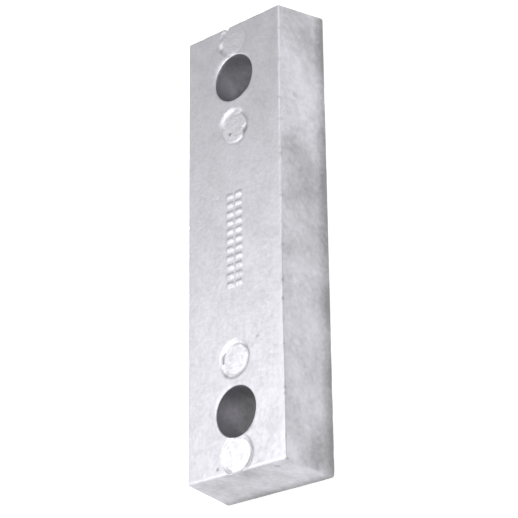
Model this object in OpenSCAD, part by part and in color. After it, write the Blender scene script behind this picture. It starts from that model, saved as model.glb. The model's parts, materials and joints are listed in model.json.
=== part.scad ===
// Bar anode: one solid casting with drafted sides and two through holes for its bolts.
// It lies on its mounting face. X runs along the bar, Y across it and Z out of the front face.
// The origin is the centre of the mounting face.

/* [Bar] */
// Length over the mounting face
bar_length = 140; // [136:0.5:180]
// Width over the mounting face
bar_width = 39.6; // [30:0.2:60]
// Thickness from the mounting face to the front face
bar_thickness = 18; // [12:0.5:28]
// Draft of the two sides and the two ends, in degrees
draft_angle = 6; // [2:0.5:8]
// Radius of the edges around the front face
front_edge_radius = 1; // [0.3:0.1:1.6]
// Radius of the edges around the mounting face
back_edge_radius = 0.9; // [0.3:0.1:1.6]
// Radius of the four edges where a side meets an end
corner_edge_radius = 1; // [0.4:0.1:2]

/* [Bolt holes] */
// Distance between the axes of the two bolt holes
hole_spacing = 101.6; // [80:0.1:104]
// Diameter of a bolt hole
hole_diameter = 14.4; // [8:0.1:17]
// Radius of the rounded rim at both ends of a bolt hole
hole_rim_radius = 0.4; // [0.2:0.05:1]

/* [Pin marks] */
// Distance from a hole's axis to the pin mark on its inner side
inner_mark_offset = 15.6; // [15:0.1:18]
// Distance from a hole's axis to the pin mark on its outer side
outer_mark_offset = 12.3; // [11.5:0.1:13]
// Diameter of a pin mark over its ring groove
mark_diameter = 11.6; // [8:0.1:12.4]
// Width of the ring groove at the front face
groove_width = 1.2; // [0.6:0.1:2]
// Depth of the ring groove below the front face
groove_depth = 0.5; // [0.2:0.05:0.6]
// Height of the disc inside the groove above the front face
mark_rise = 0.15; // [0.05:0.05:0.35]

/* [Relief] */
// Ribs in each row of the plain relief at the middle of the front face
rib_count = 11; // [3:2:13]
// Distance from one rib to the next along the bar
rib_pitch = 2.7; // [2:0.1:3.2]
// Size of a rib along the bar
rib_thickness = 1.2; // [0.8:0.1:1.8]
// Size of a rib across the bar
rib_length = 2.4; // [1.5:0.1:4]
// Gap between the two rows of ribs
rib_row_gap = 0.8; // [0.4:0.1:3]
// Height of the ribs above the front face
rib_height = 0.4; // [0.2:0.05:0.8]

/* [Hidden] */
$fn = 96;

// How far a cutting shape reaches past the surface that it cuts
cut_margin = 2;
// How deep a raised shape is rooted in the casting
root_depth = 1;

draft_slope = tan(draft_angle);
hole_x = hole_spacing / 2;
mark_places = [hole_x - inner_mark_offset, hole_x + outer_mark_offset];

// The groove is a part of a circle as wide and deep as asked
groove_radius = (pow(groove_width / 2, 2) + pow(groove_depth, 2)) / (2 * groove_depth);
groove_centre_radius = (mark_diameter - groove_width) / 2;

// The corner edges lean inwards at both the side's and the end's draft
corner_lean = atan(sqrt(2) * draft_slope);
corner_inset = corner_edge_radius / cos(draft_angle);
corner_half_angle = acos(pow(sin(draft_angle), 2)) / 2;

// How far a round of this radius has its centre inside the drafted face, at this height
function centre_x(half_base, height, radius) =
    half_base - height * draft_slope - radius / cos(draft_angle);

// Section through the bar: a trapezoid whose four corners are round
module drafted_section(half_base) {
    back_x = centre_x(half_base, back_edge_radius, back_edge_radius);
    front_z = bar_thickness - front_edge_radius;
    front_x = centre_x(half_base, front_z, front_edge_radius);
    half_outline = [
        [back_x, 0],
        [back_x + back_edge_radius * cos(draft_angle), back_edge_radius * (1 + sin(draft_angle))],
        [front_x + front_edge_radius * cos(draft_angle), front_z + front_edge_radius * sin(draft_angle)],
        [front_x, bar_thickness]
    ];
    last = len(half_outline) - 1;
    other_half = [for (i = [last:-1:0]) [-half_outline[i].x, half_outline[i].y]];
    polygon(concat(half_outline, other_half));
    for (side = [-1, 1]) {
        translate([side * back_x, back_edge_radius]) circle(r = back_edge_radius);
        translate([side * front_x, front_z]) circle(r = front_edge_radius);
    }
}

// The section along the bar and the section across it, each run through and kept where both are
module drafted_block() {
    intersection() {
        rotate([90, 0, 0])
            linear_extrude(height = bar_width + 2 * cut_margin, center = true)
                drafted_section(bar_length / 2);
        rotate([90, 0, 90])
            linear_extrude(height = bar_length + 2 * cut_margin, center = true)
                drafted_section(bar_width / 2);
    }
}

// What is cut away outside the round of one corner edge
module corner_edge_cut() {
    near = corner_edge_radius;
    far = 3 * corner_edge_radius;
    cut_height = bar_thickness + 2 * cut_margin;
    translate([bar_length / 2 - corner_inset, bar_width / 2 - corner_inset, 0])
        rotate([0, 0, 45])
            rotate([0, -corner_lean, 0])
                translate([0, 0, -cut_margin])
                    linear_extrude(height = cut_height)
                        difference() {
                            polygon([for (p = [[near, -1], [far, -1], [far, 1], [near, 1]])
                                p[0] * [cos(corner_half_angle), p[1] * sin(corner_half_angle)]]);
                            circle(r = corner_edge_radius);
                        }
}

// Cuts the round of one hole's rim, where the hole leaves a face at height 0 upwards
module rim_cut() {
    inner = hole_diameter / 2 - cut_margin;
    outer = hole_diameter / 2 + hole_rim_radius;
    rotate_extrude()
        difference() {
            translate([inner, -hole_rim_radius]) square([outer - inner, hole_rim_radius + cut_margin]);
            translate([outer, -hole_rim_radius]) circle(r = hole_rim_radius);
        }
}

module bolt_hole() {
    translate([0, 0, -cut_margin]) cylinder(d = hole_diameter, h = bar_thickness + 2 * cut_margin);
    translate([0, 0, bar_thickness]) rim_cut();
    mirror([0, 0, 1]) rim_cut();
}

// The low disc of a pin mark, before its groove is cut
module mark_disc() {
    translate([0, 0, bar_thickness - root_depth])
        cylinder(r = groove_centre_radius, h = root_depth + mark_rise);
}

module mark_groove() {
    translate([0, 0, bar_thickness + groove_radius - groove_depth])
        rotate_extrude()
            translate([groove_centre_radius, 0]) circle(r = groove_radius);
}

// Two rows of plain ribs, centred on the front face
module relief() {
    row_y = (rib_length + rib_row_gap) / 2;
    for (row = [-1, 1], i = [0:rib_count - 1])
        translate([
            (i - (rib_count - 1) / 2) * rib_pitch,
            row * row_y,
            bar_thickness + (rib_height - root_depth) / 2
        ])
            cube([rib_thickness, rib_length, rib_height + root_depth], center = true);
}

module anode() {
    color([0.8, 0.8, 0.82])
    difference() {
        union() {
            difference() {
                drafted_block();
                for (end = [0, 1], side = [0, 1])
                    mirror([end, 0, 0]) mirror([0, side, 0]) corner_edge_cut();
            }
            for (end = [-1, 1], x = mark_places) translate([end * x, 0, 0]) mark_disc();
            relief();
        }
        for (end = [-1, 1]) {
            for (x = mark_places) translate([end * x, 0, 0]) mark_groove();
            translate([end * hole_x, 0, 0]) bolt_hole();
        }
    }
}

anode();
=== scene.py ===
import json
import math

import bmesh
import bpy
import numpy as np
from mathutils import Matrix, Vector


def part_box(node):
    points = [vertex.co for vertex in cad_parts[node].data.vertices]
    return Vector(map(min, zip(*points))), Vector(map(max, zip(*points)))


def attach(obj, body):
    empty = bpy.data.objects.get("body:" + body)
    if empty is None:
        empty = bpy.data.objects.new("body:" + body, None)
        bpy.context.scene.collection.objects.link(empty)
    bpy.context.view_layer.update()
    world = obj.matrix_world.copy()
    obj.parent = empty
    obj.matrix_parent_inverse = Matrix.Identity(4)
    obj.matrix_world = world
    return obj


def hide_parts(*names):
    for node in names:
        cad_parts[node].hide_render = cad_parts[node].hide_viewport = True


# Looks of a cast zinc bar anode, lying on its mounting face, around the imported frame.
# Shapes are worked out in millimetres and turned into metres when a mesh is written.
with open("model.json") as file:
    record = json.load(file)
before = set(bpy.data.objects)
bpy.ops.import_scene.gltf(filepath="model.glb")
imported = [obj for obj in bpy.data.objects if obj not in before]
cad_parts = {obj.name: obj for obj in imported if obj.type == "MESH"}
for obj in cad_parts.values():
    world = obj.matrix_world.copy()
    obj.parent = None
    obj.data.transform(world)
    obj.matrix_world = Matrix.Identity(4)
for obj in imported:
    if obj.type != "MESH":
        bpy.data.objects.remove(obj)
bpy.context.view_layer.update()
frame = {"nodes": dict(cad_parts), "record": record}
metre = 0.001
tolerance = 1e-6            # for comparing places and counts
print("frame: loaded", sorted(frame["nodes"]))

scene = bpy.context.scene
scene.view_settings.view_transform = "Standard"

# One number for each thing drawn at random, so that each can be drawn anew by itself. The first wave
# and the first cloud have theirs, and each further one has the next number.
seeds = {
    "pinMarks": 7,
    "ribs": 8,
    "nicks": 9,
    "waves": 7,
    "edgeWear": 27,
    "discGrain": 37,
    "ribGrain": 39,
    "clouds": 47,
    "patches": 57,
    "boreClouds": 67,
}


def smoothStep(value):
    # 3v^2 - 2v^3, held at 0 below 0 and at 1 above 1
    value = np.clip(value, 0.0, 1.0)
    return value * value * (3.0 - 2.0 * value)


def waveField(points, waveLength, seed, waves=80, lengths=(0.7, 1.5), headroom=1.6):
    # The sum of plane waves in random directions, each with its own share of the given length, divided
    # by the headroom and the root of their number, so that it stays within about -1 to 1
    draw = np.random.default_rng(seed)
    heading = draw.normal(size=(3, waves))
    heading /= np.linalg.norm(heading, axis=0)
    waveNumber = 2.0 * math.pi / (waveLength * draw.uniform(*lengths, waves))
    phase = draw.uniform(0.0, 2.0 * math.pi, waves)
    total = np.sin(points @ (heading * waveNumber) + phase).sum(axis=1)
    return total / (headroom * math.sqrt(waves))


def waveShare(points, waveLength, seed):
    # The same waves, held between -1 and 1 and turned into a share from 0 to 1
    return (1 + np.clip(waveField(points, waveLength, seed), -1, 1)) / 2


def spotSum(places, spots, reach=1.0):
    # The sum of round spots. Each is its strength times a smooth step of the distance from its centre,
    # which is 0 at its reach, in radii, and full one radius nearer.
    total = np.zeros(len(places))
    for x, y, z, radius, strength in spots:
        away = np.linalg.norm(places - [x, y, z], axis=1)
        total += strength * smoothStep(reach - away / radius)
    return total


def angleAway(turn, angle):
    # How far an angle in radians is from one in degrees, the short way round, in degrees
    return np.abs((np.degrees(turn) - angle + 180) % 360 - 180)


# The bar's shape. Radii and heights are in millimetres.
barShape = {
    "draftDegrees": 6.0,
    "frontRadius": (0.45, 0.7),     # of the edges around the front face, at its -X end and its +X end
    "backRadius": 0.9,              # of the edges around the mounting face
    "rimRadius": 0.4,               # of the holes' rims
    "ribHeight": 0.4,               # the frame's box reaches this far above the front face
}

# Sizes that follow from the frame. The rounds at the back take edgeReach off each end and each side, and
# frontHalf is where the front face would have its sharp corner.
lowCorner, highCorner = (np.array(corner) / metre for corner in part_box("anode"))
bores = [mount for mount in frame["record"]["mounts"] if mount["kind"] == "bore"]
upperBore = max(bores, key=lambda mount: mount["pos_m"][0])
holeX = upperBore["pos_m"][0] / metre
holeRadius = upperBore["dims"]["r_mm"]
draft = math.radians(barShape["draftDegrees"])
slope = math.tan(draft)
backRadius = barShape["backRadius"]
edgeBand = max(barShape["frontRadius"])
thickness = highCorner[2] - barShape["ribHeight"]
edgeReach = backRadius * (slope + 1.0 / math.cos(draft) - 1.0)
frontHalf = highCorner[:2] + edgeReach - slope * thickness
print("bar: front face %.1f x %.1f mm, thickness %.1f mm" % (*(2 * frontHalf), thickness))

# The four round pin marks: a disc inside a groove, each cast a little differently. Lengths are in
# millimetres, angles in degrees from +X towards +Y.
# offset: from a hole's axis, towards the middle where it is negative. shift moves the whole mark, and
# slip moves its disc inside it. radii: of the groove's outline and of the disc. stretch: how much longer
# both are along the bar. walls: how wide the slopes are, of the groove's outline where it is widest
# and opposite, and of the disc. depths: of the groove in the same two places. rise: how high the disc's
# centre is above the front face. tilt: its slope, up towards tiltAngle, where the groove's outline is
# narrowest. closed: angle, half width and share of each stretch where the groove runs out. notched:
# angle, half width and depth of each notch in the disc's outline. tones: how bright the disc's own skin
# is, and how bright the painted highlight is on the groove's widest slope, which faces the light. The
# next value: how grey the painted shade is in the groove just outside the disc. grain: how rough the
# disc is.
pinMarks = {
    "reach": 6.3,           # the fine mesh around a mark reaches this far from its centre
    "tiltAngle": 225,
    # Where the painted shade just outside the discs lies: its middle angle, half width, fade and reach
    "shadeAngle": 250,
    "shadeHalfWidth": 95,
    "shadeFade": 50,         # in degrees at both ends of the painted shade
    "shadeReach": 1.1,
    "dome": 0.06,
    "wobble": 0.015,        # how much both outlines waver, as a share of their radii
    "lobes": (2, 3, 7),     # waves around the groove's outline, the disc's, and finer ones of the disc's
    "fineWobble": 0.6,      # of the finer ones, as a share
    "grainSize": 0.9,
    "facingPower": 4,       # how fast their painted shade and brightness fade where a place turns from the front
    "marks": [
        {"end": 1, "offset": -15.6, "shift": (0.1, 0.4), "slip": (-0.85, -0.7), "radii": (5.85, 4.4),
         "stretch": 1.0, "walls": (1.5, 0.6, 0.6), "depths": (0.46, 0.25), "rise": -0.1, "tilt": 0.08,
         "closed": [(130, 62, 1.0), (180, 60, 0.6), (336, 24, 0.6)], "notched": [(244, 26, 1.2)],
         "tones": (0.75, 1.0), "grooveShade": 0.4, "grain": 0.045},
        {"end": 1, "offset": 12.3, "shift": (0.3, 0.0), "slip": (-0.2, 0.2), "radii": (5.8, 4.5),
         "stretch": 1.0, "walls": (0.9, 0.7, 0.9), "depths": (0.25, 0.2), "rise": -0.04, "tilt": 0.01,
         "closed": [(230, 60, 1.0), (330, 60, 0.8)], "notched": [],
         "tones": (0.2, 0.2), "grooveShade": 0.08, "grain": 0.04},
        {"end": -1, "offset": -15.6, "shift": (-0.4, 0.4), "slip": (-0.1, -0.6), "radii": (5.8, 4.2),
         "stretch": 1.01, "walls": (1.1, 0.9, 0.3), "depths": (0.42, 0.4), "rise": -0.1, "tilt": 0.05,
         "closed": [(190, 50, 0.3)], "notched": [],
         "tones": (1.0, 2.2), "grooveShade": 0.6, "grain": 0.03},
        {"end": -1, "offset": 12.3, "shift": (0.0, -0.4), "slip": (0.0, 0.1), "radii": (6.05, 4.85),
         "stretch": 1.0, "walls": (1.0, 0.9, 0.35), "depths": (0.44, 0.44), "rise": -0.1, "tilt": 0.055,
         "closed": [(90, 35, 0.9), (185, 35, 0.9)], "notched": [],
         "tones": (1.3, 1.3), "grooveShade": 0.6, "grain": 0.03},
    ],
}


def markShares(x, y):
    # What each pin mark gives to places on the front face. Both outlines waver by sines of the angle
    # around the mark, and every edge is a smooth step over its wall.
    # groove: the groove's share of its depth. disc: the share of the disc. face: the height of the disc's
    # own face, a tilted plane with a low dome. towards: from 1 where the groove's slope is widest to 0
    # opposite, as half a cosine. Last, the share of the painted shade in the groove just outside the
    # disc.
    draw = np.random.default_rng(seeds["pinMarks"])
    upAngle = math.radians(pinMarks["tiltAngle"])
    wobble, fineWobble = pinMarks["wobble"], pinMarks["fineWobble"]
    ringLobes, discLobes, fineLobes = pinMarks["lobes"]
    for mark in pinMarks["marks"]:
        centre = np.array([mark["end"] * (holeX + mark["offset"]), 0.0]) + mark["shift"]
        ringPhase, discPhase, finePhase = draw.uniform(0, 2 * math.pi, 4)[:3]
        (ringRadius, discRadius), (wide, narrow, discWall) = mark["radii"], mark["walls"]
        stretch = mark["stretch"]
        ringX, ringY = x - centre[0], y - centre[1]
        discX, discY = ringX - mark["slip"][0], ringY - mark["slip"][1]
        turn = np.arctan2(ringY, ringX)
        towards = (1 - np.cos(turn - upAngle)) / 2

        ringAway = np.hypot(ringX / stretch, ringY * stretch)
        ringAway *= 1 + wobble * np.sin(ringLobes * turn + ringPhase)
        groove = smoothStep((ringRadius - ringAway) / (narrow + (wide - narrow) * towards))
        for angle, halfWidth, share in mark["closed"]:
            groove *= 1 - share * smoothStep(1 - angleAway(turn, angle) / halfWidth)

        wave = np.sin(discLobes * turn + discPhase) + fineWobble * np.sin(fineLobes * turn + finePhase)
        discAway = np.hypot(discX / stretch, discY * stretch) * (1 + wobble * wave)
        for angle, halfWidth, depth in mark["notched"]:
            discAway += depth * smoothStep(1 - angleAway(turn, angle) / halfWidth)
        disc = smoothStep((discRadius + discWall - discAway) / discWall)
        face = mark["rise"] + mark["tilt"] * (discX * math.cos(upAngle) + discY * math.sin(upAngle))
        face += pinMarks["dome"] * (1 - np.clip(discAway / discRadius, 0, 1) ** 2)

        # Painted shade in the groove just outside the disc, around one angle and fading at both ends of
        # its stretch
        shadeTurn = angleAway(turn, pinMarks["shadeAngle"])
        grooveShadeShare = smoothStep((pinMarks["shadeHalfWidth"] - shadeTurn) / pinMarks["shadeFade"])
        grooveShadeShare *= smoothStep(1 - (discAway - discRadius - discWall) / pinMarks["shadeReach"]) * (1 - disc)
        yield mark, {"groove": groove, "disc": disc, "face": face, "towards": towards, "grooveShadeShare": grooveShadeShare}


# Plain relief at the middle of the front face: two rows of ribs, softened by the casting.
ribRelief = {
    "count": 11,
    "pitch": 2.7,
    "thickness": 1.2,
    "length": 2.4,
    "rowGap": 0.8,
    "softness": 0.42,
    "lowest": 0.7,          # the lowest rib, as a share of the full height
    "unevenPlace": 0.04,
    "unevenLength": 0.08,
    "grain": 0.12,          # how far its top is eaten away, as a share of its height
    "grainSize": 1.5,
}


def ribHeights(x, y, z):
    # A rib is one smooth step over its edges along X times one over its edges along Y. Its height is
    # uneven by a random share for each rib, and by the waves that eat its top away.
    draw = np.random.default_rng(seeds["ribs"])
    count, pitch, soft = ribRelief["count"], ribRelief["pitch"], ribRelief["softness"]
    wear = draw.uniform(ribRelief["lowest"], 1.0, (count, 2))
    aside = draw.uniform(-1, 1, (count, 2)) * ribRelief["unevenPlace"]
    longer = draw.uniform(-1, 0, (count, 2)) * ribRelief["unevenLength"]
    row = (y > 0).astype(int)
    number = np.clip(np.round(x / pitch) + count // 2, 0, count - 1).astype(int)
    alongX = np.abs(x - (number - count // 2) * pitch - aside[number, row])
    alongY = np.abs(np.abs(y) - (ribRelief["length"] + ribRelief["rowGap"]) / 2)
    rib = smoothStep((ribRelief["thickness"] / 2 - alongX) / soft + 0.5)
    rib *= smoothStep(((ribRelief["length"] + longer[number, row]) / 2 - alongY) / soft + 0.5)
    grain = waveShare(np.stack([x, y, z], axis=-1), ribRelief["grainSize"], seeds["ribGrain"])
    return barShape["ribHeight"] * rib * (1 - ribRelief["grain"] * grain) * wear[number, row]


# The rim of each hole is worn to a flat bevel on one side. depth: at the -X hole and at the +X hole.
rimWear = {"reach": 1.0, "depth": (0.12, 0.34), "angle": 55, "halfWidth": 85}


def rimBevel(x, y):
    # The depth of the bevel grows evenly from 0 at its reach to the hole, times a smooth step of the
    # angle around the hole
    holeAway = np.hypot(np.abs(x) - holeX, y)
    holeTurn = np.arctan2(y, x - np.sign(x) * holeX)
    worn = smoothStep(1 - angleAway(holeTurn, rimWear["angle"]) / rimWear["halfWidth"])
    depth = np.where(x > 0, rimWear["depth"][1], rimWear["depth"][0])
    return depth * worn * np.clip((holeRadius + rimWear["reach"] - holeAway) / rimWear["reach"], 0, 1)


# Pits of the casting, and small lumps where the depth is negative: place on the front face, radius and
# depth.
frontPits = [
    (33.1, 1.5, 0.7, 0.2),
    (61.9, 4.7, 1.5, 0.4),
    (64.1, 4.8, 1.4, -0.2),
    (-65.7, 7.0, 0.6, 0.35),
    (-15.3, 10.5, 0.8, -0.12),
    (-31.0, -8.1, 0.7, 0.1),
    (14.0, 6.5, 0.6, 0.1),
    (-47.0, 12.0, 0.5, 0.12),
    (46.0, -13.5, 0.5, 0.12),
    (-8.0, -11.0, 0.6, 0.1),
]


def frontHeight(x, y, z):
    # Height of the front face above its plane. A mark's groove goes down by its depth outside its disc,
    # and the disc has its own height with rough grain. The ribs go up, the rims' bevels and the pits go
    # down, and a pit is its depth times a smooth step from its radius to its centre.
    grain = waveField(np.stack([x, y, z], axis=-1), pinMarks["grainSize"], seeds["discGrain"])
    height = ribHeights(x, y, z) - rimBevel(x, y)
    for mark, shares in markShares(x, y):
        deep, shallow = mark["depths"]
        depth = shallow + (deep - shallow) * shares["towards"] ** 2
        height += (shares["face"] + mark["grain"] * grain) * shares["disc"]
        height -= depth * shares["groove"] * (1 - shares["disc"])
    for pitX, pitY, radius, depth in frontPits:
        height -= depth * smoothStep(1 - np.hypot(x - pitX, y - pitY) / radius)
    return height


# The mesh of the bar: the steps between its lines, in millimetres, and how many cells its bends have.
meshSteps = {
    "windowHalf": 9.0,      # half of the square of mesh that turns into a round hole
    "upright": 0.5,         # the lines around that square start to lean this far outside it
    "rib": 0.3,
    "mark": 0.26,
    "window": 0.5,
    "plain": 0.9,
    "wall": 1.0,
    "bore": 1.5,
    "edgeCells": 5,         # over each half of a rounded edge
    "rimCells": 4,
    "flatCells": 5,         # from that square to the rim
}


def gradedLine(stops, steps):
    # From stop to stop, each stretch cut into equal cells no longer than its own step, and the same
    # mirrored to the negative side
    cells = [max(1, math.ceil((b - a) / step - tolerance)) for a, b, step in zip(stops, stops[1:], steps)]
    parts = [np.linspace(a, b, n + 1)[:-1] for a, b, n in zip(stops, stops[1:], cells)]
    half = np.append(np.concatenate(parts), stops[-1])
    return np.concatenate([-half[:0:-1], half])


def gridCells(rows, columns, closed=False):
    # The four corner numbers of each cell of a grid of vertices, row by row
    number = np.arange(rows * columns).reshape(rows, columns)
    if closed:
        number = np.hstack([number, number[:, :1]])
    corners = [number[:-1, :-1], number[1:, :-1], number[1:, 1:], number[:-1, 1:]]
    return np.stack(corners, axis=-1)


def weld(patches, decimals=4):
    # Joins patches of (places, directions, cells): places that agree to these decimals become one vertex
    shift = np.cumsum([0] + [len(patch[0]) for patch in patches[:-1]])
    places = np.concatenate([patch[0] for patch in patches])
    directions = np.concatenate([patch[1] for patch in patches])
    cells = np.concatenate([patch[2] + start for patch, start in zip(patches, shift)])
    first, numbers = np.unique(
        np.round(places, decimals) + 0.0, axis=0, return_index=True, return_inverse=True)[1:]
    return places[first], directions[first], numbers.reshape(-1)[cells]


def draftedRound(points):
    # A straight box is spread towards its base by the draft. Each place is then moved to the shell that
    # lies one edge radius outside the nearest place of a smaller drafted box inside it. The radius runs
    # evenly from its value at one end of the front face to that at the other, and to the back's below.
    spread = np.zeros((len(points), 2))
    for axis, holeAway in ((0, holeX), (1, 0.0)):
        keep = holeAway + meshSteps["windowHalf"] + meshSteps["upright"]
        share = np.clip((np.abs(points[:, axis]) - keep) / (frontHalf[axis] - keep), 0.0, 1.0)
        spread[:, axis] = np.sign(points[:, axis]) * share * slope
    outer = points.copy()
    outer[:, :2] += spread * (thickness - points[:, 2:3])
    atFront = np.interp(points[:, 0], [-frontHalf[0], frontHalf[0]], barShape["frontRadius"])
    level = smoothStep((points[:, 2] - edgeBand) / (thickness - 2 * edgeBand))
    radius = (backRadius + (atFront - backRadius) * level)[:, None]
    inner = outer.copy()
    inner[:, 2] = np.clip(outer[:, 2], backRadius, thickness - atFront)
    limit = frontHalf + slope * (thickness - inner[:, 2:3]) - radius / math.cos(draft)
    inner[:, :2] = np.clip(outer[:, :2], -limit, limit)
    direction = outer - inner
    direction /= np.linalg.norm(direction, axis=1, keepdims=True)
    return inner + radius * direction, direction


def latticeLines():
    # The lattice's lines along X, Y and Z: fine over the ribs, the pin marks and the rounded edges, and
    # coarse between them
    window, reach = meshSteps["windowHalf"], pinMarks["reach"]
    markStep, windowStep, plainStep = meshSteps["mark"], meshSteps["window"], meshSteps["plain"]
    edgeStep = edgeBand / meshSteps["edgeCells"]
    ribEnd = ribRelief["pitch"] * (ribRelief["count"] - 1) / 2 + ribRelief["thickness"]
    innerMark, outerMark = (holeX + mark["offset"] for mark in pinMarks["marks"][:2])
    alongX = gradedLine(
        [0, ribEnd, innerMark - reach, holeX - window, outerMark - reach, holeX + window,
         frontHalf[0] - edgeBand, frontHalf[0]],
        [meshSteps["rib"], plainStep, markStep, windowStep, markStep, markStep, edgeStep])
    alongY = gradedLine(
        [0, reach, window, frontHalf[1] - edgeBand, frontHalf[1]],
        [markStep, windowStep, plainStep, edgeStep])
    bend = np.linspace(0, 1, meshSteps["edgeCells"] + 1)
    wallCells = math.ceil((thickness - edgeBand - backRadius) / meshSteps["wall"])
    alongZ = np.concatenate([
        backRadius * bend,
        np.linspace(backRadius, thickness - edgeBand, wallCells + 1)[1:-1],
        thickness - edgeBand * bend[::-1]])
    return alongX, alongY, alongZ


def outerPatches():
    # The six sides of a lattice box, with a square window left open at each end of each hole, and the
    # two bores between those windows
    lines = latticeLines()
    alongX, alongY = lines[:2]
    window = meshSteps["windowHalf"]
    patches = []
    for fixed in range(3):
        u, v = [axis for axis in range(3) if axis != fixed]
        for side in (0, -1):
            gridU, gridV = np.meshgrid(lines[u], lines[v], indexing="ij")
            points = np.zeros((gridU.size, 3))
            points[:, u], points[:, v] = gridU.ravel(), gridV.ravel()
            points[:, fixed] = lines[fixed][side]
            cells = gridCells(*gridU.shape)
            if fixed == 2:   # front and back, where the cells inside a window are left out
                midX, midY = (alongX[1:] + alongX[:-1]) / 2, (alongY[1:] + alongY[:-1]) / 2
                columns, rows = np.abs(np.abs(midX) - holeX) < window, np.abs(midY) < window
                cells = cells[~(columns[:, None] & rows[None, :])]
            patches.append((*draftedRound(points), cells.reshape(-1, 4)))

    for centreX in (-holeX, holeX):
        inX = alongX[np.abs(alongX - centreX) < window + tolerance]
        inY = alongY[np.abs(alongY) < window + tolerance]
        patches.append(borePatch(centreX, inX, inY))
    return patches


def borePatch(centreX, inX, inY):
    # From the square window at the front, over the rim, down the bore, over the rim and out to the
    # square window at the back. Each row blends the square's outline with a circle of its own radius.
    sides = [(inX[:-1], inY[0]), (inX[-1], inY[:-1]), (inX[:0:-1], inY[-1]), (inX[0], inY[:0:-1])]
    square = np.concatenate([np.stack(np.broadcast_arrays(*side), axis=-1) for side in sides])
    turn = np.arctan2(square[:, 1], square[:, 0] - centreX)
    circle = np.stack([np.cos(turn), np.sin(turn)], axis=-1)

    rim = barShape["rimRadius"]
    flat = np.linspace(0, 1, meshSteps["flatCells"] + 1)[:-1]
    bend = np.linspace(0, math.pi / 2, meshSteps["rimCells"] + 1)
    boreCells = math.ceil((thickness - 2 * rim) / meshSteps["bore"])
    bore = np.linspace(thickness - rim, rim, boreCells + 1)[1:-1]
    straight, one = np.zeros_like(bore), np.ones_like(bore)
    rimRadii = holeRadius + rim * (1 - np.sin(bend))
    # columns: share of the circle, radius, height, direction towards the axis, direction upwards
    frontRows = np.stack([
        np.append(flat, np.ones_like(bend)),
        np.append(np.full_like(flat, rimRadii[0]), rimRadii),
        np.append(np.full_like(flat, thickness), thickness - rim * (1 - np.cos(bend))),
        np.append(np.zeros_like(flat), np.sin(bend)),
        np.append(np.ones_like(flat), np.cos(bend))], axis=-1)
    backRows = frontRows[::-1] * [1, 1, -1, 1, -1] + [0, 0, thickness, 0, 0]
    boreRows = np.stack([one, holeRadius * one, bore, one, straight], axis=-1)
    share, radius, height, inward, upward = (
        column[:, None] for column in np.concatenate([frontRows, boreRows, backRows]).T)

    onCircle = [centreX, 0] + radius[..., None] * circle
    flatPlaces = square + share[..., None] * (onCircle - square)
    level = np.broadcast_to(height[..., None], flatPlaces.shape[:2] + (1,))
    places = np.concatenate([flatPlaces, level], axis=-1)
    rise = np.broadcast_to(upward[..., None], level.shape)
    directions = np.concatenate([-inward[..., None] * circle, rise], axis=-1)
    cells = gridCells(*places.shape[:2], closed=True)
    return places.reshape(-1, 3), directions.reshape(-1, 3), cells.reshape(-1, 4)


# Small nicks along the edges, drawn at random. kinds: how many are on the two long edges of the front
# face, on its +X edge and on the four upright corners. inset: how far their centres are inside the sharp
# edges. reach and greyReach: where a nick and its grey end, in radii.
edgeNicks = {
    "count": 80,
    "kinds": (0.72, 0.08, 0.2),
    "inset": 0.3,
    "radius": (0.3, 0.65),
    "depth": (0.04, 0.15),
    "grey": (0.0, 0.55),
    "reach": 1.2,
    "greyReach": 1.3,
}


def nickSpots(measure):
    # A row for each nick: its centre, its radius and one of its measures, the depth or the grey
    draw = np.random.default_rng(seeds["nicks"])
    count, inset = edgeNicks["count"], edgeNicks["inset"]
    kind = draw.choice(3, count, p=edgeNicks["kinds"])
    run, side, end = draw.uniform(-1, 1, count), draw.choice([-1, 1], count), draw.choice([-1, 1], count)
    end = np.where(kind == 1, 1, end)
    x = np.where(kind == 0, run, end) * (frontHalf[0] - inset)
    y = np.where(kind == 1, run, side) * (frontHalf[1] - inset)
    z = np.where(kind == 2, thickness * (1 + run) / 2, thickness - inset)
    spread = np.where(kind == 2, slope * (thickness - z), 0)
    values = {name: draw.uniform(*edgeNicks[name], count) for name in ("radius", "depth", "grey")}
    return np.column_stack([x + end * spread, y + side * spread, z, values["radius"], values[measure]])


# The notch in the front face's +X edge: its half width, its reach along X and how far it goes in and
# down. It is slanted: its Y goes from the first value at the edge to the second where it ends.
edgeNotch = {"y": (2.6, 3.9), "halfWidth": 0.95, "reach": 3.6, "inwards": 2.0, "down": 0.5, "below": 5.5}


def notchShare(x, y, z):
    # The notch's share of its depth: 1 on its slanted middle line at the edge, and down to 0 at its half
    # width, at the end of its reach and some way below the front face
    along = (frontHalf[0] - x) / edgeNotch["reach"]
    middle = edgeNotch["y"][0] + (edgeNotch["y"][1] - edgeNotch["y"][0]) * along
    share = smoothStep(1 - np.abs(y - middle) / edgeNotch["halfWidth"]) * smoothStep(1 - along)
    return share * smoothStep(1 - (thickness - z) / edgeNotch["below"])


# Unevenness of the cast skin everywhere and of its edges: wave length and depth, both in millimetres.
castWaves = [(26.0, 0.05), (7.0, 0.02), (2.4, 0.009)]
edgeWear = (6.0, 0.08)

# The upper edge of the -Y side is sunk between two places along X, as a casting shrinks. fade: the length
# of its two ends. from and over: the Y from which the front face follows, and the width of that.
sideSink = {"between": (-52.0, 52.0), "fade": (30.0, 8.0), "from": 12.0, "over": 6.0, "depth": 0.22}


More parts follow.
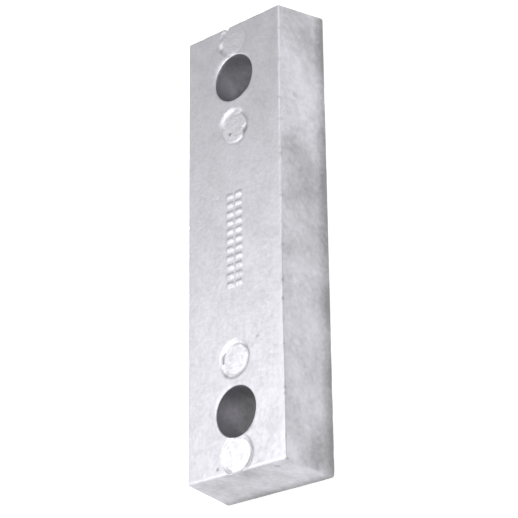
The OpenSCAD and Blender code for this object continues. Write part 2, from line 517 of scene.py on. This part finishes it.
def castSurface(places, directions):
    # Moves each place against its own direction by the sum of the cast waves, the wear of the edges and
    # the nicks. The edges' share is twice the sum of the direction's products, two by two, which is 0 on
    # a flat face. The sink moves the -Y side towards +Y, by its depth times one smooth step at each of
    # its ends and one with the height. Where the direction points upwards, the front face's height is
    # added. The notch moves its places inwards and down by its share.
    x, y, z = places.T
    inward = spotSum(places, nickSpots("depth"), edgeNicks["reach"])
    for number, (waveLength, depth) in enumerate(castWaves):
        inward += depth * waveShare(places, waveLength, seeds["waves"] + number)
    facingX, facingY, facingZ = np.abs(directions).T
    bent = np.clip(2 * (facingX * facingY + facingY * facingZ + facingX * facingZ), 0, 1)
    wearLength, wearDepth = edgeWear
    inward += wearDepth * bent * smoothStep(waveField(places, wearLength, seeds["edgeWear"]))
    moved = places - directions * inward[:, None]

    (low, high), (lowFade, highFade) = sideSink["between"], sideSink["fade"]
    sunk = smoothStep((x - low) / lowFade) * smoothStep((high - x) / highFade) * smoothStep(z / thickness)
    moved[:, 1] += sideSink["depth"] * sunk * smoothStep((-y - sideSink["from"]) / sideSink["over"])
    moved[:, 2] += np.clip(directions[:, 2], 0, 1) * frontHeight(x, y, z)
    notch = notchShare(x, y, z)
    moved[:, 0] -= edgeNotch["inwards"] * notch
    moved[:, 2] -= edgeNotch["down"] * notch
    return np.clip(moved, lowCorner, highCorner)


# How grey the skin is, from 0, the cleanest, to 1, with painted shade towards the mounting face and down
# the bores. Lengths are in millimetres.
skinDirtAndShade = {
    "clean": 0.3,                   # the mean grey of the walls
    "frontClean": 0.4,              # of the front face, as a share of it
    "end": -0.06,                   # more on the two ends
    "wallFacing": (0.9, 0.3),       # a wall's share is 0 where a place faces up or down by the first, and
                                    # 1 by the second
    "clouds": [(35.0, 0.08, 0.02), (18.0, 0.08, 0.03), (9.0, 0.06, 0.035), (4.5, 0.05, 0.035)],
    "cloudStretch": 1.6,            # how much longer the clouds are along the bar
    "backShade": 0.85,               # painted shade on the walls towards the mounting face
    "backShadeReach": 5.3,
    "patches": (12.0, 0.4),         # wave length of its patches and how much paler the palest is
    # The bores' grey at their front, and their painted shade, darker deeper down
    "boreTop": 0.2,
    "boreShadeDeep": 1.4,
    "boreClouds": (8.0, 0.12),      # wave length and strength
    "boreEdge": 0.08,               # a bore's grey ends this far outside its wall
}


def outerGrey(places, directions, wall):
    # The clean grey, plus the ends' own, plus clouds, which are waves with their strengths on the walls
    # and on the front face, plus patchy painted shade on the walls towards the mounting face, which a
    # smooth step ends at its reach
    clean = skinDirtAndShade["clean"] * (skinDirtAndShade["frontClean"] + (1 - skinDirtAndShade["frontClean"]) * wall)
    grey = clean + skinDirtAndShade["end"] * np.abs(directions[:, 0])
    for number, (waveLength, onWall, onFront) in enumerate(skinDirtAndShade["clouds"]):
        wave = waveField(places / [skinDirtAndShade["cloudStretch"], 1, 1], waveLength, seeds["clouds"] + number)
        grey += (onFront + (onWall - onFront) * wall) * wave
    patchLength, paler = skinDirtAndShade["patches"]
    patchy = 1 - paler * (1 - waveShare(places, patchLength, seeds["patches"]))
    nearBack = 1 - smoothStep(places[:, 2] / skinDirtAndShade["backShadeReach"])
    return grey + skinDirtAndShade["backShade"] * patchy * nearBack * wall


# Dark spots, and light ones where the strength is negative: place, radius and strength. Those over the
# pin marks' grooves, over the pits and along the slit beside the -X inner disc are painted shade, and the
# light ones along the front face's -Y edge are a painted highlight. Those of the side stay on the -Y
# side, and those of the end on the -X end.
darkSpots = {
    "anywhere": [
        # Painted shade in a pit, in the pin marks' grooves and along the slit beside the -X inner disc
        (33.1, 1.5, 18.0, 0.9, 1.3),
        (32.3, -4.4, 18.0, 1.2, 0.7),
        (33.0, -5.1, 18.0, 1.0, 0.6),
        (62.3, 6.4, 18.0, 1.0, 0.3),
        (61.3, 5.4, 18.0, 1.1, 0.25),
        (60.4, 4.4, 18.0, 1.1, 0.4),
        (59.5, 3.1, 18.0, 1.1, 0.35),
        (-39.4, 3.5, 18.0, 1.8, 0.5),
        (-33.0, 4.0, 18.0, 0.7, 0.9),
        (-33.5, 4.4, 18.0, 0.75, 1.1),
        (-34.0, 4.65, 18.0, 0.8, 1.1),
        (-34.5, 4.8, 18.0, 0.8, 1.1),
        (-35.0, 4.85, 18.0, 0.8, 1.1),
        (-35.5, 4.85, 18.0, 0.8, 1.1),
        (-36.0, 4.8, 18.0, 0.75, 1.1),
        (-65.1, 4.3, 18.0, 0.9, 0.3),
        (-65.9, 3.6, 18.0, 0.9, 0.4),
        (-66.7, 2.9, 18.0, 1.0, 0.7),
        (-67.4, 2.1, 18.0, 1.0, 0.7),
        (-38.5, -11.3, 18.0, 2.8, 0.14),
        (-57.5, -11.8, 18.0, 3.0, 0.14),
        (-57.5, -15.5, 18.0, 5.0, 0.12),
        (-38.5, -15.5, 18.0, 5.0, 0.12),
        (-59.5, 14.0, 18.0, 3.0, 0.12),
        (-64.0, 11.0, 18.0, 2.2, 0.14),
        # Painted shade in two pits
        (-65.7, 7.0, 18.0, 0.8, 0.9),
        (-31.0, -8.1, 18.0, 0.9, 0.5),
        # Painted highlight along the front face's -Y edge
        (30.0, -18.0, 17.5, 6.0, -0.1),
        (16.0, -18.0, 17.5, 7.0, -0.16),
        (4.0, -18.0, 17.5, 7.0, -0.16),
        (-9.0, -18.0, 17.5, 7.0, -0.12),
    ],
    "side": [
        (43.0, -18.4, 10.0, 21.0, -0.27),
        (-48.0, -18.4, 10.0, 15.0, -0.17),
        (24.0, -18.0, 13.0, 8.0, 0.22),
        (-65.0, -18.0, 17.0, 6.0, -0.28),
        (26.5, -18.0, 15.0, 1.2, 0.3),
        (40.8, -18.5, 12.0, 1.2, 0.5),
        (-7.7, -18.0, 15.5, 5.0, 0.3),
        (14.0, -18.6, 9.0, 13.0, 0.3),
        (-20.0, -19.0, 3.0, 8.0, 0.35),
        (66.0, -18.4, 13.0, 8.0, 0.25),
        (57.0, -19.0, 6.5, 9.0, 0.2),
        (63.0, -19.0, 4.0, 8.0, 0.14),
        (0.0, -19.0, 5.0, 12.0, 0.12),
        (-62.0, -19.0, 4.0, 9.0, 0.25),
        (-65.5, -19.0, 8.0, 6.5, 0.33),
        (-67.8, -18.8, 8.0, 3.5, 0.16),
    ],
    "end": [
        (-68.4, -12.6, 15.3, 1.2, 0.9),
        (-68.6, -3.0, 15.5, 9.0, 0.3),
        (-68.6, 12.0, 13.0, 8.0, 0.25),
        (-68.4, -17.5, 16.0, 3.5, 0.2),
        (-69.0, -13.0, 6.0, 7.0, -0.15),
    ],
}


def spotGrey(places, directions):
    # The sum of the dark spots and of the nicks' grey. A spot of the side counts as far as its place
    # faces -Y, and one of the end as far as it faces -X.
    onEnd, onSide = np.clip(-directions[:, :2], 0, 1).T
    grey = spotSum(places, darkSpots["anywhere"])
    grey += spotSum(places, darkSpots["side"]) * onSide
    grey += spotSum(places, darkSpots["end"]) * onEnd
    return grey + spotSum(places, nickSpots("grey"), edgeNicks["greyReach"])


# A painted highlight along two edges of the front face. end: how bright and how wide at its -X edge,
# and the width over which that ends. sides: stretches of its -Y edge, each with its two ends along X, its
# width and how bright it is. facing: how far a place has to face up to be as bright as that.
edgeHighlight = {
    "end": (0.75, 1.15, 0.6),
    "sides": [(-10.0, 80.0, 0.8, 0.75), (-80.0, -16.0, 2.2, 0.26)],
    "fade": 12.0,
    "facing": 0.6,
}


def paintedEdgeHighlight(places, directions):
    # The painted highlight: a smooth step towards each edge, on the -Y edge over the inner half of its
    # width and times one at both ends of its stretch. All of it is times one of how far the place faces
    # up.
    x, y, fade = places[:, 0], places[:, 1], edgeHighlight["fade"]
    share, width, endFade = edgeHighlight["end"]
    bright = share * smoothStep((width - frontHalf[0] - x) / endFade)
    for low, high, width, share in edgeHighlight["sides"]:
        along = smoothStep((x - low) / fade) * smoothStep((high - x) / fade)
        bright += share * along * smoothStep(2 * (width - frontHalf[1] - y) / width)
    return bright * smoothStep(directions[:, 2] / edgeHighlight["facing"])


# Painted light and shade on the bores' walls, mostly lighter on their +Y sides and darker on their +X
# sides: place, radius and strength.
boreLightAndShade = [
    (50.8, 0.0, 9.0, 16.0, -0.15),
    (51.5, 7.3, 12.5, 5.0, -0.75),
    (57.5, 3.0, 16.5, 6.0, 0.35),
    (-48.5, 7.0, 11.5, 5.5, -0.3),
    (-44.4, 3.7, 15.0, 7.0, 0.6),
    (-44.0, -1.0, 9.0, 6.0, 0.2),
]


def boreGreyAndShade(places):
    # Painted shade from the grey at the front to the darker one at the back by a smooth step of the
    # depth, plus waves of tone and the painted light and shade of the spots
    deep = smoothStep((thickness - places[:, 2]) / thickness)
    cloudLength, cloudStrength = skinDirtAndShade["boreClouds"]
    clouds = cloudStrength * waveField(places, cloudLength, seeds["boreClouds"])
    grey = skinDirtAndShade["boreTop"] + (skinDirtAndShade["boreShadeDeep"] - skinDirtAndShade["boreTop"]) * deep
    return grey + clouds + spotSum(places, boreLightAndShade)


def castSkin(places, directions):
    # What the material reads at each place: how grey the skin is, how bright, and how far the place is
    # inside a bore or on a wall. The pin marks add painted shade in their grooves just outside their
    # discs.
    # They also add brightness, the discs' own and a painted highlight on their grooves' widest slopes.
    # Both the shade and the brightness go by a power of how far the place faces up. The front face's
    # edges get a painted highlight. Spots take brightness away.
    x, y = places[:, 0], places[:, 1]
    flat, steep = skinDirtAndShade["wallFacing"]
    wall = smoothStep((flat - np.abs(directions[:, 2])) / (flat - steep))
    spots = spotGrey(places, directions)
    grey = outerGrey(places, directions, wall) + spots
    bright = paintedEdgeHighlight(places, directions)
    front = np.clip(directions[:, 2], 0, 1) ** pinMarks["facingPower"]
    for mark, shares in markShares(x, y):
        onDisc, slopeHighlight = mark["tones"]
        # A painted highlight on the groove's widest slope, where it faces the light, and painted shade
        # just outside the disc
        slopeHighlightShare = shares["groove"] * (1 - shares["disc"]) * shares["towards"] * (1 - shares["grooveShadeShare"])
        grey += mark["grooveShade"] * shares["grooveShadeShare"] * front
        bright += (onDisc * shares["disc"] + slopeHighlight * slopeHighlightShare) * front
    bright *= np.clip(1 - spots, 0, 1)
    holeAway = np.hypot(np.abs(x) - holeX, y)
    bore = smoothStep((holeRadius - holeAway) / skinDirtAndShade["boreEdge"] + 1)
    grey += bore * (boreGreyAndShade(places) - grey)
    return {"skinGrey": grey, "skinBrightAndHighlight": bright, "skinBore": bore, "skinWall": wall * (1 - bore)}


def writeMesh(name, places, cells):
    # A smooth mesh of cells with four corners, its object at the origin
    mesh = bpy.data.meshes.new(name)
    mesh.vertices.add(len(places))
    mesh.vertices.foreach_set("co", (places * metre).astype(np.float32).ravel())
    mesh.loops.add(cells.size)
    mesh.loops.foreach_set("vertex_index", cells.astype(np.int32).ravel())
    mesh.polygons.add(len(cells))
    mesh.polygons.foreach_set("loop_start", np.arange(0, cells.size, 4, dtype=np.int32))
    mesh.polygons.foreach_set("use_smooth", np.ones(len(cells), bool))
    mesh.update(calc_edges=True)
    mesh.validate()
    piece = bpy.data.objects.new(name, mesh)
    scene.collection.objects.link(piece)
    return piece


def turnOutwards(piece):
    # Turns all faces outwards and counts the edges that don't have two faces
    work = bmesh.new()
    work.from_mesh(piece.data)
    bmesh.ops.recalc_face_normals(work, faces=work.faces)
    openEdges = sum(1 for edge in work.edges if not edge.is_manifold)
    work.to_mesh(piece.data)
    work.free()
    return openEdges


def writeValues(piece, values):
    # Each list of numbers becomes an attribute of the vertices
    for name, numbers in values.items():
        layer = piece.data.attributes.new(name, "FLOAT", "POINT")
        layer.data.foreach_set("value", numbers.astype(np.float32))


def addNode(tree, kind, inputs=None, **settings):
    # A node with its settings. Each input is linked where it gets a socket, and else it gets the value.
    node = tree.nodes.new(kind)
    for key, value in settings.items():
        setattr(node, key, value)
    for key, value in (inputs or {}).items():
        if isinstance(value, bpy.types.NodeSocket):
            tree.links.new(value, node.inputs[key])
        else:
            node.inputs[key].default_value = value
    return node


def addMath(tree, operation, *values, **settings):
    # One operation on two or three values
    node = addNode(tree, "ShaderNodeMath", dict(enumerate(values)), operation=operation, **settings)
    return node.outputs[0]


def addRange(tree, value, before, after, **settings):
    # The value as it goes from one end of a range to the other, moved to another range
    ends = {"From Min": before[0], "From Max": before[1], "To Min": after[0], "To Max": after[1]}
    return addNode(tree, "ShaderNodeMapRange", {"Value": value, **ends}, **settings).outputs[0]


def addMix(tree, share, first, second, **settings):
    # The first colour, with its share of the second
    colours = {0: share, 6: first, 7: second}
    return addNode(tree, "ShaderNodeMix", colours, data_type="RGBA", **settings).outputs[2]


def addRays(tree):
    # 1 for the camera's own rays and 1 for those that a surface mirrors or lets through, else 0
    rays = addNode(tree, "ShaderNodeLightPath").outputs
    mirrored = addMath(tree, "MAXIMUM", rays["Is Glossy Ray"], rays["Is Transmission Ray"])
    return rays["Is Camera Ray"], mirrored


def emptyMaterial(name):
    # A new material without nodes
    material = bpy.data.materials.new(name)
    material.use_nodes = True
    material.node_tree.nodes.clear()
    return material


# Finish of the cast zinc. Colours are linear, sizes are in millimetres.
# noises: size, how much longer it is along the bar, detail and roughness of each, and how grey it makes
# the front face and the walls.
zincFinish = {
    "clean": (0.76, 0.754, 0.798, 1),
    "grey": (0.36, 0.358, 0.368, 1),
    "bright": (0.91, 0.91, 0.955, 1),       # painted highlights along the front face's edges and on the grooves' widest slopes, and the discs' own brighter skin
    "brightFrom": (0.35, 0.55),             # the specks' heights from which it shows
    "brightShare": (0.2, 1.0),              # below and above them
    "bore": (0.7, 0.694, 0.711, 1),         # multiplies the skin's colour inside a bore
    "metallic": 0.85,
    "roughFrom": (0.3, 0.7),                # the specks' heights between which the roughness goes up
    "roughness": (0.48, 0.6),
    "bumpDepth": 0.1,
    "noises": {
        "speck": {"size": 1.4, "stretch": 1, "detail": 4.0, "roughness": 0.65, "grey": (0.58, 0.58)},
        "streak": {"size": 1.2, "stretch": 10, "detail": 2.0, "roughness": 0.5, "grey": (0.08, 0.08)},
        "blotch": {"size": 4.0, "stretch": 1, "detail": 3.0, "roughness": 0.6, "grey": (0.45, 0.58)},
    },
}


def zincMaterial():
    # The greyness is the skin's own plus each noise, less one half, times its share. It mixes the clean
    # colour with the grey one. The bright colour is mixed in by the skin's brightness and painted
    # highlights times the specks' height, and the bore's colour multiplies that inside a bore.
    look = zincFinish
    material = emptyMaterial("castZinc")
    tree = material.node_tree
    place = addNode(tree, "ShaderNodeTexCoord").outputs["Object"]
    skinGrey, skinBrightAndHighlight, skinBore, skinWall = (
        addNode(tree, "ShaderNodeAttribute", attribute_name=name).outputs["Fac"]
        for name in ("skinGrey", "skinBrightAndHighlight", "skinBore", "skinWall"))

    greyness = skinGrey
    heights = {}
    for name, noise in look["noises"].items():
        stretched = addNode(tree, "ShaderNodeMapping", {
            "Vector": place, "Scale": (1 / noise["stretch"], 1, 1)})
        heights[name] = addNode(tree, "ShaderNodeTexNoise", {
            "Vector": stretched.outputs[0], "Scale": 1 / (noise["size"] * metre),
            "Detail": noise["detail"], "Roughness": noise["roughness"]}).outputs[0]
        centred = addMath(tree, "SUBTRACT", heights[name], 0.5)
        share = addRange(tree, skinWall, (0, 1), noise["grey"])
        greyness = addMath(tree, "MULTIPLY_ADD", centred, share, greyness)
    greyness = addNode(tree, "ShaderNodeClamp", {0: greyness}).outputs[0]
    skin = addMix(tree, greyness, look["clean"], look["grey"])

    speckShare = addRange(tree, heights["speck"], look["brightFrom"], look["brightShare"])
    brightShare = addMath(tree, "MULTIPLY", speckShare, skinBrightAndHighlight, use_clamp=True)
    skin = addMix(tree, brightShare, skin, look["bright"])
    colour = addMix(tree, skinBore, skin, look["bore"], blend_type="MULTIPLY")

    roughness = addRange(tree, heights["speck"], look["roughFrom"], look["roughness"])
    grain = addNode(tree, "ShaderNodeBump", {
        "Height": heights["speck"], "Strength": 1.0, "Distance": look["bumpDepth"] * metre})
    shader = addNode(tree, "ShaderNodeBsdfPrincipled", {
        "Base Color": colour, "Metallic": look["metallic"], "Roughness": roughness,
        "Normal": grain.outputs[0]})
    addNode(tree, "ShaderNodeOutputMaterial", {0: shader.outputs[0]})
    return material


places, directions, cells = weld(outerPatches())
casting = writeMesh("castingSkin", castSurface(places, directions), cells)
openEdges = turnOutwards(casting)
writeValues(casting, castSkin(places, directions))
casting.data.materials.append(zincMaterial())
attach(casting, "root")
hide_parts("anode")
print("bar: %d cells, %d open edges" % (len(cells), openEdges))

# Floor and backdrop, in metres. It looks white to the camera and keeps the shadow.
stageLook = {
    "floorSize": 8.0,
    "floorGap": 0.0002,     # below the mounting face
    "floorColour": (0.55, 0.55, 0.555, 1),
    "glow": 0.76,           # as the camera sees it
    "mirroredGlow": 0.7,    # as the zinc mirrors it
}


def floorMaterial():
    # A matte colour plus a glow, which has one strength for the camera and one for mirrored rays
    material = emptyMaterial("paleFloor")
    tree = material.node_tree
    toCamera, mirrored = addRays(tree)
    mirroredGlow = addMath(tree, "MULTIPLY", mirrored, stageLook["mirroredGlow"])
    strength = addMath(tree, "MULTIPLY_ADD", toCamera, stageLook["glow"], mirroredGlow)
    matte = addNode(tree, "ShaderNodeBsdfDiffuse", {"Color": stageLook["floorColour"]})
    glow = addNode(tree, "ShaderNodeEmission", {"Color": (1, 1, 1, 1), "Strength": strength})
    both = addNode(tree, "ShaderNodeAddShader", {0: matte.outputs[0], 1: glow.outputs[0]})
    addNode(tree, "ShaderNodeOutputMaterial", {0: both.outputs[0]})
    return material


half = stageLook["floorSize"] / 2
floorMesh = bpy.data.meshes.new("floor")
floorMesh.from_pydata(
    [(-half, -half, 0), (half, -half, 0), (half, half, 0), (-half, half, 0)], [], [(0, 1, 2, 3)])
floor = bpy.data.objects.new("floor", floorMesh)
floor.location.z = -stageLook["floorGap"]
scene.collection.objects.link(floor)
floorMesh.materials.append(floorMaterial())
print("stage: floor laid")

# Lamps: place and aim in metres, size of the square in metres, power in watts.
lamps = {
    "keyLamp": {
        "place": (-0.038, 0.064, 0.239), "aim": (-0.05, 0, 0.01), "size": 0.195, "power": 0.32},
    "fillLamp": {
        "place": (0.25, -0.55, 0.50), "aim": (0.02, 0, 0.01), "size": 0.5, "power": 0.28},
    "edgeLamp": {
        "place": (0.162, -0.168, 0.18), "aim": (0.045, -0.018, 0.018), "size": 0.08, "power": 0.073},
}

# The world is even for the light that it gives. Mirrored, it is a white backdrop that fades to that
# level where the Z of the ray's direction goes through the heights, and where its Y less its X goes down
# through the corner, so that it is white towards -X and +Y alone. The camera sees it white.
worldLook = {"colour": (1, 1, 1, 1), "strength": 0.44, "heights": (0.3, 0.8), "corner": (0.9, 0.3)}


def facing(place, aim):
    # The turn that points a lamp's -Z from its place to its aim
    return (Vector(aim) - Vector(place)).to_track_quat("-Z", "Y").to_matrix().to_4x4()


def studioWorld():
    # The strength, plus the rest up to 1 times two smooth steps for mirrored rays, and 1 for the camera
    world = bpy.data.worlds.new("studio")
    world.use_nodes = True
    tree = world.node_tree
    tree.nodes.clear()
    direction = addNode(tree, "ShaderNodeTexCoord").outputs["Generated"]
    parts = addNode(tree, "ShaderNodeSeparateXYZ", {0: direction}).outputs
    across = addMath(tree, "SUBTRACT", parts["Y"], parts["X"])
    lowShare, nearShare = (
        addRange(tree, value, worldLook[name], (1.0, 0.0), interpolation_type="SMOOTHSTEP")
        for value, name in ((parts["Z"], "heights"), (across, "corner")))
    toCamera, mirrored = addRays(tree)
    white = addMath(tree, "MULTIPLY", addMath(tree, "MULTIPLY", lowShare, nearShare), mirrored)
    level = addMath(tree, "MULTIPLY_ADD", white, 1 - worldLook["strength"], worldLook["strength"])
    level = addMath(tree, "MAXIMUM", level, toCamera)
    sky = addNode(tree, "ShaderNodeBackground", {0: worldLook["colour"], 1: level})
    addNode(tree, "ShaderNodeOutputWorld", {0: sky.outputs[0]})
    return world


for name, lamp in lamps.items():
    light = bpy.data.lights.new(name, "AREA")
    light.size = lamp["size"]
    light.energy = lamp["power"]
    holder = bpy.data.objects.new(name, light)
    holder.matrix_world = Matrix.Translation(lamp["place"]) @ facing(lamp["place"], lamp["aim"])
    holder.visible_camera = False
    scene.collection.objects.link(holder)
scene.world = studioWorld()
print("light: %d lamps" % len(lamps))

# Camera as in the photograph: above the lower right corner, with the bar upright in the picture. Places
# are in metres, the lens and the sensor in millimetres.
view = {
    "place": (-0.2292, -0.3593, 0.4058),
    "aim": (-0.0089, -0.0092, 0.018),
    "up": (0.9213, -0.2695, 0.2803),
    "lens": 143.2,
    "sensor": 36.0,
}
cameraData = bpy.data.cameras.new("photoView")
cameraData.lens = view["lens"]
cameraData.sensor_width = view["sensor"]
camera = bpy.data.objects.new("photoView", cameraData)
backward = (Vector(view["place"]) - Vector(view["aim"])).normalized()
rightward = Vector(view["up"]).cross(backward).normalized()
upward = backward.cross(rightward)
turned = Matrix((rightward, upward, backward)).transposed().to_4x4()
camera.matrix_world = Matrix.Translation(view["place"]) @ turned
scene.collection.objects.link(camera)
scene.camera = camera
print("camera: set")
